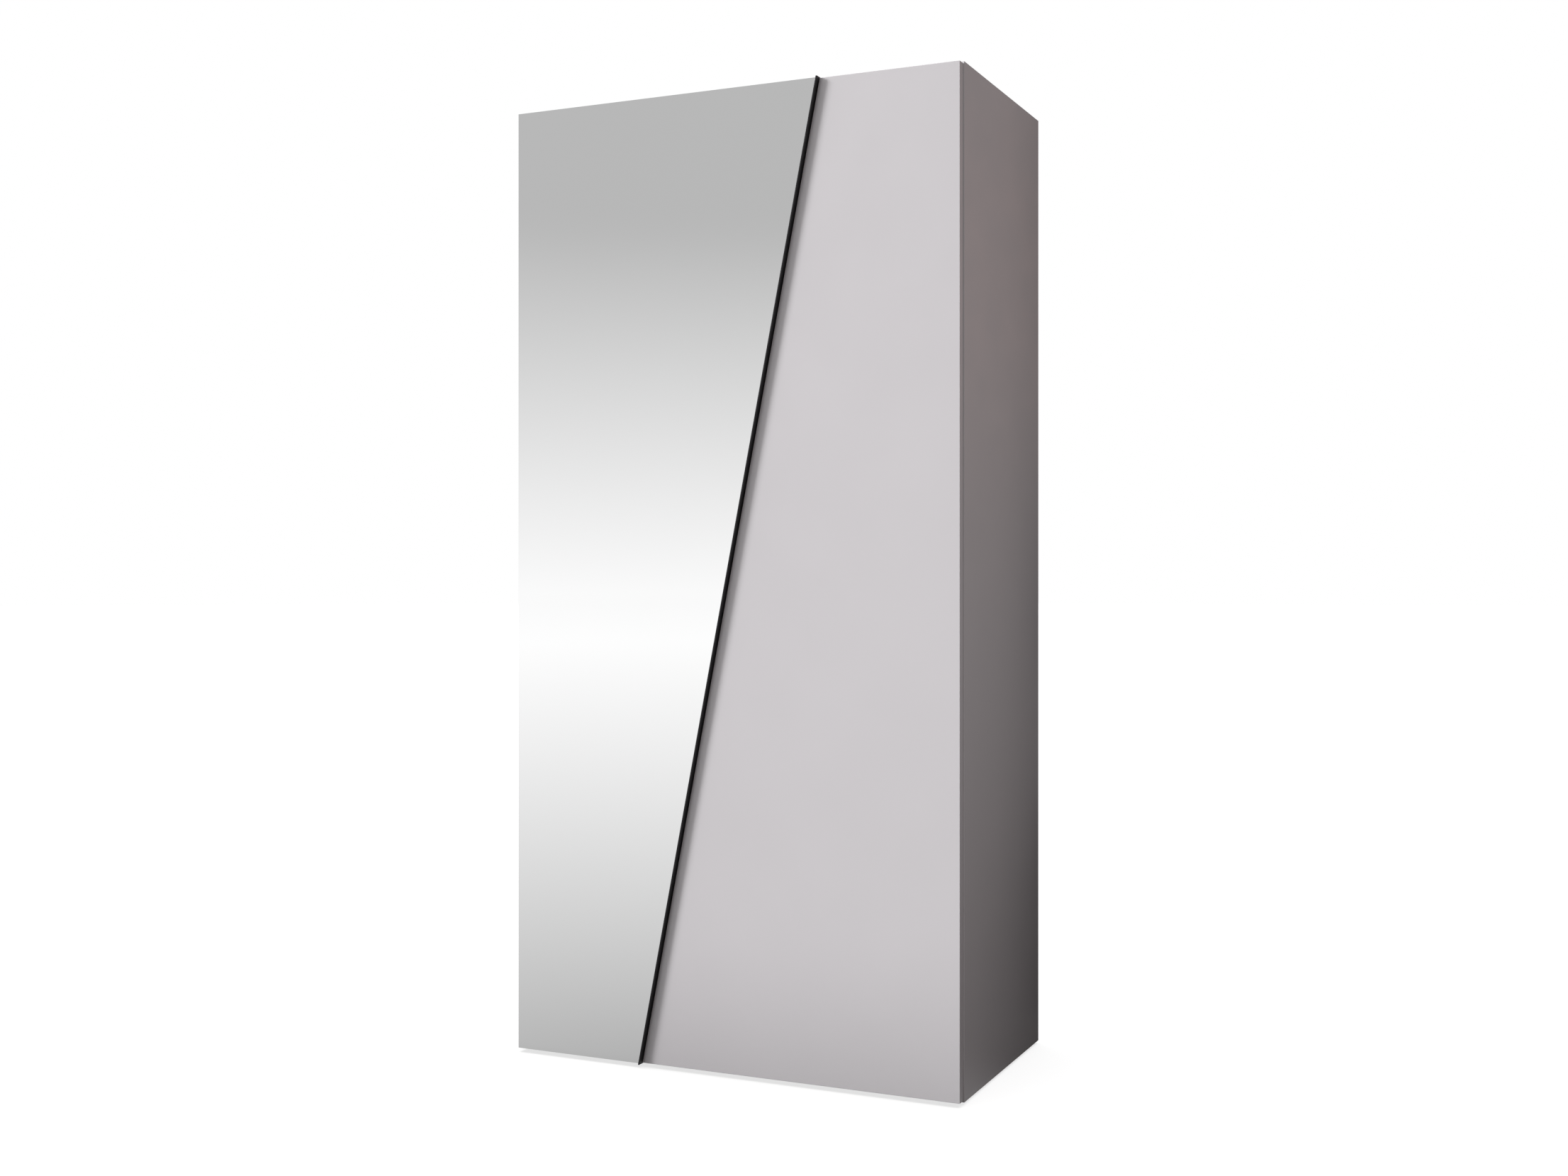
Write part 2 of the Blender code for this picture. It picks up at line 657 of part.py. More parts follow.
def make_hinges(door_axes, link_axes):
    """Every hinge of both doors. The right door's hinges are the same ones turned over."""
    shapes = {
        "hinge_cup": (cup_mesh(), NICKEL),
        "hinge_link": (link_mesh(), NICKEL),
        "hinge_arm": (arm_mesh(), NICKEL),
        "hinge_plate": (plate_mesh(), NICKEL),
    }
    for side, side_name in SIDES:
        for number, z in enumerate(HINGE_HEIGHTS, start=1):
            for shape_name, (mesh, material) in shapes.items():
                name = f"{shape_name}_{side_name}_{number}"
                piece = place(name, mesh, material, (side * DOOR_EDGE_X, DOOR_BACK_Y, z))
                piece.rotation_euler = (0, math.pi if side > 0 else 0.0, 0)
                if shape_name == "hinge_cup":
                    hang(piece, door_axes[side])
                elif shape_name == "hinge_link":
                    hang(piece, link_axes[side])


def make_armoire():
    door_axes, link_axes = {}, {}
    for side, side_name in SIDES:
        door_axis = (side * (DOOR_EDGE_X - AXIS_U), DOOR_BACK_Y + AXIS_W, 0)
        link_axis = (side * (DOOR_EDGE_X - LINK_PIVOT.x), DOOR_BACK_Y + LINK_PIVOT.y, 0)
        door_axes[side] = pivot(f"{side_name}_door_axis", door_axis)
        link_axes[side] = pivot(f"{side_name}_link_axis", link_axis)
        make_side(f"side_panel_{side_name}", side)
    make_boards()
    make_shelf_pins()
    make_hanging_rail()
    make_feet()
    make_bumpers()
    make_left_door(door_axes[-1])
    make_right_door(door_axes[1])
    make_hinges(door_axes, link_axes)


clear_scene()
PIECES = new_collection("armoire")
CUTTERS = new_collection("cutters")

LACQUER = make_material("greige_lacquer", (0.62, 0.59, 0.59), 0.38)
INTERIOR = make_material("interior_melamine", (0.70, 0.68, 0.65), 0.50)
MIRROR = make_material("mirror_silver", (0.90, 0.91, 0.91), 0.02, 1.0)
BLACK_METAL = make_material("black_anodised", (0.012, 0.011, 0.012), 0.35, 0.6)
STEEL = make_material("satin_steel", (0.62, 0.62, 0.63), 0.30, 1.0)
NICKEL = make_material("nickel_plate", (0.66, 0.64, 0.61), 0.25, 1.0)
BLACK_PLASTIC = make_material("black_nylon", (0.03, 0.03, 0.03), 0.55)
SILICONE = make_material("clear_silicone", (0.80, 0.80, 0.80), 0.40)

make_armoire()
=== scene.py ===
"""The looks of the slant-doored armoire: node materials on every CAD piece, small fittings made as
meshes, and a pale studio to see it in. Metres, in the CAD model's own frame.
"""
import json
import math

import bmesh
import bpy
from mathutils import Matrix, Vector

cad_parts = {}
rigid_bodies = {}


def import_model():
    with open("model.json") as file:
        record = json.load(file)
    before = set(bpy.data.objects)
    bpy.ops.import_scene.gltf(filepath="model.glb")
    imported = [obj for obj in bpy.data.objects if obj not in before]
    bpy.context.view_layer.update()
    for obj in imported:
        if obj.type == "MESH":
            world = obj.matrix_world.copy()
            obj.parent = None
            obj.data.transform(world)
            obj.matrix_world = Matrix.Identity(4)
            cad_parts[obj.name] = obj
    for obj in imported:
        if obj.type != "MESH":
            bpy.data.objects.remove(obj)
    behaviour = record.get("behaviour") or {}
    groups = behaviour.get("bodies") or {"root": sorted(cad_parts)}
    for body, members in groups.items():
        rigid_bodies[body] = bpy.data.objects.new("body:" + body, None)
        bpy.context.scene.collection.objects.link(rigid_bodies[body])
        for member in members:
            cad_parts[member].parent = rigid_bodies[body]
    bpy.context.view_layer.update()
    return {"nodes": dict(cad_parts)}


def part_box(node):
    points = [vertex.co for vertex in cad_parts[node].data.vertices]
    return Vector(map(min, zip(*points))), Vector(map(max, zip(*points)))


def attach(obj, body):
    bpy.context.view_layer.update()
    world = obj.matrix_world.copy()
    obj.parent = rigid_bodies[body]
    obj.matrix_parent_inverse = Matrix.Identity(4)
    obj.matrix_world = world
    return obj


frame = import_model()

NODES = frame["nodes"]
SIDES = ((-1, "left"), (1, "right"))

# Camera
CAMERA_PLACE = (1.8231, -3.9833, 1.1697)
CAMERA_TURN = math.radians(24.47)
CAMERA_LENS = 40.96
CAMERA_SENSOR = 36.0
CAMERA_SHIFT = -0.0108

# Sky: spans on the unit sphere, and the strengths at their two ends
WHITE = (1.0, 1.0, 1.0, 1.0)
SKY_Z = (-0.012, 0.2)
SKY_GLOW = (1.087, 0.51)
SKY_LEAST_GLOW = 0.54
SKY_BLEND = 0.05
BEHIND_Y = (-0.1, 0.1)
BEHIND_GLOW = 0.35
SURROUND_Z = (-0.3, 0.5)
SURROUND_GLOW = (0.14, 0.32)
RIGHTWARD_X = (0.0, 0.8)
RIGHTWARD_GAIN = (0.95, 1.61)
WARM_X = (-0.1, 0.5)
WARM_Y = (-0.3, -0.1)
WARM_COLOUR = (1.0, 0.93, 0.92, 1.0)
CARD_TURN = 0.307
CARD_RISE = 0.18
CARD_RADIUS = math.radians(9.5)
CARD_GLOW = 0.86
CARD_COLOUR = (1.0, 0.58, 0.50, 1.0)

# Floor, and the floor that only reflections see
FLOOR_RADIUS = 60.0
FLOOR_STEP = 0.0005
FLOOR_GREY = 0.25
FLOOR_GLOW = 0.74
CAMERA_TO_MIRROR = 3.7
MIRROR_TO_CENTRE = 0.3
FAR_FLOOR_GLOW = (1.055, 1.6)
NEAR_FLOOR_GLOW = (1.219, 0.47)
FLOOR_BLEND = 0.03
REAR_FLOOR_REACH = (2.0, 14.0)
REAR_FLOOR_GLOW = (0.12, BEHIND_GLOW)
REAR_FLOOR_Y = (-0.4, 0.2)

# Lamps: turn, height and width in degrees, then the power
KEY_TURN = 62.5
KEY = (KEY_TURN, 22, 16, 3.49)
SIDE_KEY = (KEY_TURN, 22, 16, 1.4)
FILL = (50, 20, 80, 1.20)
REAR = (150, 35, 40, 1.4)
OVERHEAD = (0, 90, 70, 4.4)
KEPT_FROM_KEY = ("side_panel_left", "left_door_panel", "door_seals")

# Flags: centre, width, height, then turn and roll in degrees
FLAG_BLACK = (0.02, 0.02, 0.02, 1.0)
FLAG_ROUGHNESS = 0.9
FLOOR_FLAG_RADIUS = 1.3
REAR_FLAG = ((0.92, 0.42, 1.3), 0.7, 2.4)
LOW_REAR_FLAG = ((0.95, 0.21, 0.30), 0.78, 0.66, -22)
FRONT_FLAG = ((-2.685, -1.885, 0.54), 8.0, 1.08, -KEY_TURN, -30)
NET_FLAG = ((0.64, 0.60, 1.2), 0.16, 2.4)
NET_FADE = (-0.125, 0.208)
NET_CLOSENESS = (1.0, 0.25)

# Colours of the two board finishes, and the spacing of the melamine's threads to the metre
LACQUER_COLOUR = (0.640, 0.618, 0.637)
MELAMINE_COLOUR = (0.600, 0.585, 0.572)
THREADS_ACROSS = 1500.0
THREADS_ALONG = 300.0

# Surfaces
SHARP_ANGLE = math.radians(50)
FACING = 0.9
WELD_DISTANCE = 0.00001
POLE_WELD_DISTANCE = 0.000001
FLAT_WEIGHT = 90

# Fittings
HOLE_RADIUS = 0.0025
HOLE_DEPTH = 0.012
HOLE_PITCH = 0.032
HOLES_BELOW_SHELF = 48
HOLES_ABOVE_SHELF = 6
CUP_SCREW_SPACING = 0.048
PLATE_SCREW_SPACING = 0.032
PLATE_THICKNESS = 0.0024
ARM_SCREWS_FROM_REAR = (0.048, 0.020)
CAD_HEAD_RISE = 0.0011
HEAD_RADIUS = 0.0038
HEAD_HEIGHT = 0.0021
CAP_RADIUS = 0.0095
CAP_HEIGHT = 0.0008
CAP_INSET = 0.034
SEAL_WIDTH = 0.0018
SEAL_INSET = 0.0006
SEAL_CLEARANCE = 0.0005
SEAL_ROOT = 0.0003
SEAL_ROUND = 0.0005
RECESS_LENGTH = 1.1
RECESS_WIDTH = 0.22
RECESS_DEPTH = 1.3
RECESS_TURN = 0.7
BRACKETS_UP = (0.12, 0.37, 0.63, 0.88)
BRACKETS_ACROSS = (0.25, 0.75)
BRACKET_WIDTH = 0.030
BRACKET_REACH = 0.014
BRACKET_SETBACK = 0.0008
BRACKET_SLOPE = 0.6
BRACKET_SEAT = 0.18
BRACKET_ROUND = 0.0007
BRACKET_SCREW_RADIUS = 0.0030
BRACKET_SCREW_HEIGHT = 0.0016


# Node trees


class Graph:
    """A node tree under construction, with one short call for each node and its wiring."""

    def __init__(self, tree):
        self.tree = tree

    def add(self, kind, sockets=(), **settings):
        node = self.tree.nodes.new("ShaderNode" + kind)
        for name, value in settings.items():
            setattr(node, name, value)
        for socket, value in dict(sockets).items():
            self.set(node.inputs[socket], value)
        return node

    def set(self, socket, value):
        if isinstance(value, bpy.types.NodeSocket):
            self.tree.links.new(value, socket)
        else:
            socket.default_value = value

    def math(self, operation, first, second=0.0, third=0.0):
        return self.add("Math", {0: first, 1: second, 2: third}, operation=operation).outputs[0]

    def ramp(self, value, start, end, low, high, smooth=False):
        kind = "SMOOTHSTEP" if smooth else "LINEAR"
        sockets = {0: value, 1: start, 2: end, 3: low, 4: high}
        return self.add("MapRange", sockets, interpolation_type=kind).outputs[0]

    def choose(self, share, first, second):
        sockets = {0: share, 2: first, 3: second}
        return self.add("Mix", sockets, data_type="FLOAT").outputs[0]

    def tint(self, share, first, second):
        sockets = {0: share, 6: first, 7: second}
        return self.add("Mix", sockets, data_type="RGBA").outputs[2]

    def place(self, scale=(1.0, 1.0, 1.0), rotation=(0.0, 0.0, 0.0)):
        """Metres on the piece itself, stretched and turned, so that a grain follows the piece."""
        spot = self.add("TexCoord").outputs["Object"]
        turned = self.add("Mapping", {0: spot, 2: rotation}).outputs[0]
        return self.add("Mapping", {0: turned, 3: scale}).outputs[0]

    def noise(self, spot, scale, detail=2.0, roughness=0.5):
        sockets = {"Vector": spot, "Scale": scale, "Detail": detail, "Roughness": roughness}
        return self.add("TexNoise", sockets).outputs[0]


class Look(Graph):
    """A material with a Principled shader, whose even values are set on the shader's own sockets."""

    def __init__(self, name, **even):
        self.material = bpy.data.materials.new(name)
        self.material.use_nodes = True
        super().__init__(self.material.node_tree)
        self.shader = self.tree.nodes["Principled BSDF"]
        for socket, value in even.items():
            self.shader.inputs[socket.replace("_", " ")].default_value = value

    def feed(self, socket, value):
        self.set(self.shader.inputs[socket], value)

    def bump(self, height, distance):
        sockets = {"Height": height, "Distance": distance, "Strength": 1.0}
        self.feed("Normal", self.add("Bump", sockets).outputs[0])


def shade(colour, factor):
    return (*(channel * factor for channel in colour), 1.0)


# Materials


def lacquer():
    """Satin lacquer on board: a faint orange peel, and rubbed patches that shine a little more."""
    look = Look("greige_lacquer")
    spot = look.place()
    cloud = look.noise(spot, scale=2.2, detail=3.0)
    speck = look.noise(spot, scale=900.0, detail=2.0)
    clouded = look.ramp(cloud, 0.3, 0.7, 0.0, 1.0)
    specked = look.ramp(speck, 0.62, 0.8, 0.0, 0.05)
    toned = look.tint(clouded, shade(LACQUER_COLOUR, 0.985), shade(LACQUER_COLOUR, 1.012))
    look.feed("Base Color", look.tint(specked, toned, shade(LACQUER_COLOUR, 0.8)))
    rubbed = look.noise(spot, scale=9.0, detail=4.0, roughness=0.6)
    look.feed("Roughness", look.ramp(rubbed, 0.25, 0.75, 0.36, 0.45))
    look.bump(look.noise(spot, scale=320.0, detail=2.0, roughness=0.4), distance=0.00004)
    return look.material


def melamine():
    """Linen-grain melamine: crossed threads, each slow along one axis and quick across it."""
    look = Look("interior_melamine")
    threads = []
    for axis in range(3):
        stretch = [THREADS_ALONG] * 3
        stretch[axis] = THREADS_ACROSS
        threads.append(look.noise(look.place(scale=stretch), scale=1.0, detail=0.0))
    weave = look.math("ADD", look.math("ADD", threads[0], threads[1]), threads[2])
    share = look.ramp(weave, 1.1, 1.9, 0.0, 1.0)
    look.feed("Base Color", look.tint(share, shade(MELAMINE_COLOUR, 0.94), shade(MELAMINE_COLOUR, 1.04)))
    look.feed("Roughness", look.ramp(weave, 1.2, 1.8, 0.56, 0.44))
    look.bump(weave, distance=0.00004)
    return look.material


def chipboard():
    """The raw board inside a drilled hole."""
    look = Look("raw_chipboard", Roughness=0.85)
    chips = look.add("TexVoronoi", {"Vector": look.place(), "Scale": 700.0}).outputs["Color"]
    share = look.ramp(look.add("SeparateColor", {0: chips}).outputs[0], 0.0, 1.0, 0.0, 1.0)
    look.feed("Base Color", look.tint(share, (0.22, 0.14, 0.08, 1.0), (0.48, 0.34, 0.21, 1.0)))
    return look.material


def mirror_silver():
    """Float glass over silver: clean, with the faintest breath marks."""
    look = Look("mirror_silver", Metallic=1.0)
    spot = look.place()
    breath = look.noise(spot, scale=5.0, detail=5.0, roughness=0.65)
    look.feed("Roughness", look.ramp(breath, 0.45, 0.8, 0.006, 0.022))
    tone = look.ramp(look.noise(spot, scale=1.4, detail=2.0), 0.3, 0.7, 0.0, 1.0)
    look.feed("Base Color", look.tint(tone, (0.878, 0.879, 0.879, 1.0), (0.886, 0.886, 0.887, 1.0)))
    return look.material


def glass_edge():
    """The mirror's polished rim, where the float glass shows its green."""
    look = Look("mirror_rim", Roughness=0.12, IOR=1.52)
    depth = look.noise(look.place(scale=(30.0, 900.0, 30.0)), scale=1.0, detail=2.0)
    share = look.ramp(depth, 0.3, 0.7, 0.0, 1.0)
    look.feed("Base Color", look.tint(share, (0.16, 0.30, 0.25, 1.0), (0.34, 0.50, 0.44, 1.0)))
    look.bump(depth, distance=0.00003)
    return look.material


def black_anodised(slant):
    """Black anodised aluminium, brushed along the slanted profile."""
    look = Look("black_anodised", Metallic=0.55)
    along = look.place(scale=(1.0, 1.0, 0.008), rotation=(0.0, -slant, 0.0))
    grain = look.noise(along, scale=1800.0, detail=3.0)
    look.feed("Base Color", look.tint(grain, (0.009, 0.009, 0.010, 1.0), (0.020, 0.019, 0.020, 1.0)))
    look.feed("Roughness", look.ramp(grain, 0.3, 0.7, 0.30, 0.44))
    look.bump(grain, distance=0.00002)
    return look.material


def brushed_steel():
    """Satin-plated steel, drawn along X as the rail is."""
    look = Look("satin_steel", Metallic=1.0)
    drawn = look.noise(look.place(scale=(0.01, 1.0, 1.0)), scale=2200.0, detail=3.0)
    smear = look.noise(look.place(), scale=30.0, detail=3.0)
    look.feed("Base Color", look.tint(smear, (0.56, 0.56, 0.57, 1.0), (0.66, 0.66, 0.67, 1.0)))
    look.feed("Roughness", look.ramp(drawn, 0.3, 0.7, 0.20, 0.36))
    look.bump(drawn, distance=0.00001)
    return look.material


def nickel():
    """Nickel plate on pressed steel: fine scratches every way, and a soft unevenness from the press."""
    look = Look("nickel_plate", Metallic=1.0)
    spot = look.place()
    press = look.noise(spot, scale=160.0, detail=3.0)
    across = look.place(scale=(1.0, 0.06, 1.0), rotation=(0.4, 0.0, 0.7))
    scratch = look.noise(across, scale=2600.0, detail=2.0)
    look.feed("Base Color", look.tint(press, (0.60, 0.58, 0.55, 1.0), (0.72, 0.70, 0.67, 1.0)))
    look.feed("Roughness", look.ramp(scratch, 0.3, 0.7, 0.16, 0.32))
    look.bump(look.math("ADD", look.math("MULTIPLY", scratch, 0.2), press), distance=0.00003)
    return look.material


def black_nylon():
    """Moulded nylon with a fine spark-eroded grain, dusty next to the floor."""
    look = Look("black_nylon")
    spot = look.place()
    grain = look.noise(spot, scale=1400.0, detail=2.0)
    dust = look.math("MULTIPLY", look.noise(spot, scale=120.0, detail=4.0), look.ramp(
        look.add("SeparateXYZ", {0: spot}).outputs["Z"], 0.0, 0.012, 0.55, 0.0))
    look.feed("Base Color", look.tint(dust, (0.026, 0.026, 0.027, 1.0), (0.22, 0.21, 0.20, 1.0)))
    look.feed("Roughness", look.ramp(grain, 0.3, 0.7, 0.48, 0.64))
    look.bump(grain, distance=0.00004)
    return look.material


def silicone():
    look = Look("clear_silicone", Transmission_Weight=0.55, IOR=1.41, Subsurface_Weight=0.2)
    haze = look.noise(look.place(), scale=500.0, detail=3.0)
    look.feed("Base Color", look.tint(haze, (0.78, 0.78, 0.77, 1.0), (0.88, 0.88, 0.87, 1.0)))
    look.feed("Roughness", look.ramp(haze, 0.3, 0.7, 0.32, 0.48))
    return look.material


def moulded_white():
    """Off-white moulded plastic, for the caps and brackets that came with the wardrobe."""
    look = Look("fitting_plastic")
    grain = look.noise(look.place(), scale=900.0, detail=2.0)
    look.feed("Base Color", look.tint(grain, (0.52, 0.51, 0.50, 1.0), (0.58, 0.57, 0.56, 1.0)))
    look.feed("Roughness", look.ramp(grain, 0.3, 0.7, 0.42, 0.56))
    look.bump(grain, distance=0.00003)
    return look.material


def soft_seal():
    """Matt rubber in the lacquer's colour."""
    look = Look("soft_seal", Specular_IOR_Level=0.3)
    grain = look.noise(look.place(), scale=1200.0, detail=2.0)
    look.feed("Base Color", look.tint(grain, (0.60, 0.58, 0.595, 1.0), (0.66, 0.64, 0.655, 1.0)))
    look.feed("Roughness", look.ramp(grain, 0.3, 0.7, 0.55, 0.70))
    look.bump(grain, distance=0.00002)
    return look.material


# Camera and studio


def make_camera():
    camera = bpy.data.cameras.new("camera")
    camera.lens = CAMERA_LENS
    camera.sensor_width = CAMERA_SENSOR
    camera.sensor_fit = "HORIZONTAL"
    camera.shift_y = CAMERA_SHIFT
    obj = bpy.data.objects.new("camera", camera)
    obj.location = CAMERA_PLACE
    obj.rotation_euler = (math.pi / 2, 0, CAMERA_TURN)
    bpy.context.scene.collection.objects.link(obj)
    bpy.context.scene.camera = obj


def reflected_glow(graph, way):
    """What reflections see: bright at the horizon, dimmer above, and dimmer behind the object."""
    falling = graph.ramp(way["Z"], *SKY_Z, *SKY_GLOW)
    backdrop = graph.math("SMOOTH_MAX", falling, SKY_LEAST_GLOW, SKY_BLEND)
    return graph.math("MULTIPLY", backdrop, graph.ramp(way["Y"], *BEHIND_Y, 1.0, BEHIND_GLOW))


def surround_glow(graph, way):
    """What lights the object from all round: a little stronger from above and from the right."""
    surround = graph.ramp(way["Z"], *SURROUND_Z, *SURROUND_GLOW, smooth=True)
    return graph.math("MULTIPLY", surround, graph.ramp(way["X"], *RIGHTWARD_X, *RIGHTWARD_GAIN))


def warm_card(graph, direction, is_reflection):
    """A soft-edged warm card behind the object, for its right side to reflect."""
    card_way = (
        math.sin(CARD_TURN) * math.cos(CARD_RISE),
        math.cos(CARD_TURN) * math.cos(CARD_RISE),
        math.sin(CARD_RISE),
    )
    facing = graph.add("VectorMath", {0: direction, 1: card_way}, operation="DOT_PRODUCT")
    card = graph.ramp(facing.outputs["Value"], math.cos(CARD_RADIUS), 1.0, 0.0, CARD_GLOW, smooth=True)
    return graph.math("MULTIPLY", card, is_reflection)


def make_world():
    """White behind the object, a dim surround that lights it, and a graded one for reflections."""
    world = bpy.data.worlds.new("studio")
    bpy.context.scene.world = world
    world.use_nodes = True
    world.node_tree.nodes.clear()
    graph = Graph(world.node_tree)
    direction = graph.add("TexCoord").outputs["Generated"]
    way = graph.add("SeparateXYZ", {0: direction}).outputs
    rays = graph.add("LightPath").outputs
    is_reflection = rays["Is Glossy Ray"]
    is_backdrop = rays["Is Camera Ray"]

    strength = graph.choose(is_reflection, surround_glow(graph, way), reflected_glow(graph, way))
    strength = graph.choose(is_backdrop, strength, 1.0)
    card = warm_card(graph, direction, is_reflection)
    strength = graph.math("ADD", strength, card)

    behind = graph.ramp(way["Y"], *WARM_Y, 0.0, 1.0)
    tinted = graph.math("MAXIMUM", behind, graph.math("SUBTRACT", 1.0, is_reflection))
    warm = graph.math("MULTIPLY", graph.ramp(way["X"], *WARM_X, 0.0, 1.0), tinted)
    colour = graph.tint(warm, WHITE, WARM_COLOUR)
    colour = graph.tint(is_backdrop, colour, WHITE)
    colour = graph.tint(card, colour, CARD_COLOUR)
    background = graph.add("Background", {"Color": colour, "Strength": strength})
    graph.add("OutputWorld", {"Surface": background.outputs[0]})


def make_lamp(name, lit, turn, height, size, power, glossy=False):
    """A far lamp. Turn is from straight ahead of the doors towards their left; size is its width."""
    light = bpy.data.lights.new(name, "SUN")
    light.energy = power
    light.angle = math.radians(size)
    lamp = bpy.data.objects.new(name, light)
    turn, height = math.radians(turn), math.radians(height)
    towards = Vector((
        math.sin(turn) * math.cos(height),
        math.cos(turn) * math.cos(height),
        -math.sin(height),
    ))
    lamp.rotation_euler = towards.to_track_quat("-Z", "Y").to_euler()
    lamp.visible_glossy = glossy
    lamp.light_linking.receiver_collection = lit
    bpy.context.scene.collection.objects.link(lamp)
    return lamp


def make_lamps(floor):
    """The left side and its door's edge face the key, so a weaker lamp in its place lights them."""
    ground = bpy.data.collections.new("ground")
    ground.objects.link(floor)
    outer_side = bpy.data.collections.new("outer_side")
    lit_by_key = bpy.data.collections.new("lit_by_key")
    for piece in FURNITURE.objects:
        receivers = outer_side if piece.name in KEPT_FROM_KEY else lit_by_key
        receivers.objects.link(piece)
    make_lamp("key", lit_by_key, *KEY, glossy=True)
    make_lamp("side_key", outer_side, *SIDE_KEY, glossy=True)
    make_lamp("fill", FURNITURE, *FILL)
    make_lamp("rear", FURNITURE, *REAR)
    overhead = make_lamp("overhead", ground, *OVERHEAD)
    overhead.light_linking.blocker_collection = FURNITURE


def stage_disc(name, radius, level, look):
    bpy.ops.mesh.primitive_circle_add(vertices=96, radius=radius, fill_type="NGON", location=(0, 0, level))
    return stage_piece(name, look)


def stage_piece(name, look):
    piece = bpy.context.object
    piece.name = name
    piece.data.materials.append(look.material)
    return piece


def make_floor():
    """A pale floor, and a glowing one that only reflections see, with painted shade near the object and
    behind it.
    """
    look = Look("floor", Roughness=0.8, Specular_IOR_Level=0.0, Emission_Color=WHITE)
    mottle = look.noise(look.place(), 0.8, 2.0)
    grey = look.tint(mottle, shade((FLOOR_GREY,) * 3, 0.98), shade((FLOOR_GREY,) * 3, 1.02))
    look.feed("Base Color", grey)
    look.feed("Emission Strength", FLOOR_GLOW)
    floor = stage_disc("floor", FLOOR_RADIUS, -FLOOR_STEP, look)
    floor.visible_diffuse = False
    floor.visible_glossy = False

    look = Look("mirrored_floor", Base_Color=(0, 0, 0, 1), Specular_IOR_Level=0.0, Emission_Color=WHITE)
    spot = look.place()
    distance = look.add("VectorMath", {0: spot}, operation="LENGTH").outputs["Value"]
    reach = look.math("ADD", distance, CAMERA_TO_MIRROR - MIRROR_TO_CENTRE)
    nearness = look.math("DIVIDE", CAMERA_TO_MIRROR, reach)
    # Painted shade: the glow dims close to the object, as if the object shaded the floor there
    rising = look.ramp(nearness, 0.0, 1.0, *FAR_FLOOR_GLOW)
    falling = look.ramp(nearness, 0.0, 1.0, *NEAR_FLOOR_GLOW)
    glow = look.math("SMOOTH_MIN", rising, falling, FLOOR_BLEND)
    # Painted shade behind the object: the glow there is dimmer still, and least close by
    behind = look.ramp(distance, *REAR_FLOOR_REACH, *REAR_FLOOR_GLOW)
    along = look.add("SeparateXYZ", {0: spot}).outputs["Y"]
    share = look.ramp(along, *REAR_FLOOR_Y, 1.0, behind, smooth=True)
    look.feed("Emission Strength", look.math("MULTIPLY", glow, share))
    mirrored = stage_disc("mirrored_floor", FLOOR_RADIUS, -2 * FLOOR_STEP, look)
    mirrored.visible_diffuse = False
    mirrored.visible_camera = False
    mirrored.visible_shadow = False
    return floor


def hide_flag(flag):
    flag.visible_camera = False
    flag.visible_glossy = False
    flag.visible_transmission = False
    flag.visible_shadow = False


def make_flag(name, look, centre, width, height, turn=0, roll=0):
    """A dark card standing out of sight, which takes soft light away from what it faces."""
    rotation = (math.pi / 2, math.radians(roll), math.radians(turn))
    bpy.ops.mesh.primitive_plane_add(size=1.0, location=centre, rotation=rotation)
    flag = stage_piece(name, look)
    flag.scale = (width, height, 1.0)
    hide_flag(flag)
    return flag


def flag_look(name):
    return Look(name, Base_Color=FLAG_BLACK, Roughness=FLAG_ROUGHNESS, Specular_IOR_Level=0.0)


def graded_net():
    """Black net that is close at its foot and open at its top."""
    look = flag_look("graded_net")
    height = look.add("SeparateXYZ", {0: look.place()}).outputs["Y"]
    look.feed("Alpha", look.ramp(height, *NET_FADE, *NET_CLOSENESS, smooth=True))
    return look


def make_flags():
    """One flag shades the lamp's light, a net shows in reflections, and the rest dim the surround."""
    look = flag_look("flag")
    hide_flag(stage_disc("floor_flag", FLOOR_FLAG_RADIUS, -3 * FLOOR_STEP, look))
    make_flag("rear_flag", look, *REAR_FLAG)
    make_flag("low_rear_flag", look, *LOW_REAR_FLAG)
    net_flag = make_flag("gloss_flag", graded_net(), *NET_FLAG)
    net_flag.visible_glossy = True
    front_flag = make_flag("front_flag", look, *FRONT_FLAG)
    front_flag.visible_shadow = True
    front_flag.visible_diffuse = False


# Meshes


def smoothing():
    """Geometry nodes that shade a mesh smooth but keep its sharp edges."""
    group = bpy.data.node_groups.new("smooth_by_angle", "GeometryNodeTree")
    group.interface.new_socket("Geometry", in_out="INPUT", socket_type="NodeSocketGeometry")
    group.interface.new_socket("Geometry", in_out="OUTPUT", socket_type="NodeSocketGeometry")
    start = group.nodes.new("NodeGroupInput")
    faces = group.nodes.new("GeometryNodeSetShadeSmooth")
    edges = group.nodes.new("GeometryNodeSetShadeSmooth")
    edges.domain = "EDGE"
    edges.inputs["Shade Smooth"].default_value = False
    angle = group.nodes.new("GeometryNodeInputMeshEdgeAngle")
    sharp = group.nodes.new("FunctionNodeCompare")
    sharp.operation = "GREATER_THAN"
    sharp.inputs[1].default_value = SHARP_ANGLE
    end = group.nodes.new("NodeGroupOutput")
    group.links.new(start.outputs[0], faces.inputs[0])
    group.links.new(faces.outputs[0], edges.inputs[0])
    group.links.new(angle.outputs["Unsigned Angle"], sharp.inputs[0])
    group.links.new(sharp.outputs[0], edges.inputs["Selection"])
    group.links.new(edges.outputs[0], end.inputs[0])
    return group


def weld(obj):
    modifier = obj.modifiers.new("weld", "WELD")
    modifier.merge_threshold = WELD_DISTANCE


def finish_surface(obj):
    """Smooth shading on the rounds, true flats on the flats."""
    obj.modifiers.new("smooth", "NODES").node_group = SMOOTHING
    weighted = obj.modifiers.new("flats", "WEIGHTED_NORMAL")
    weighted.keep_sharp = True
    weighted.weight = FLAT_WEIGHT


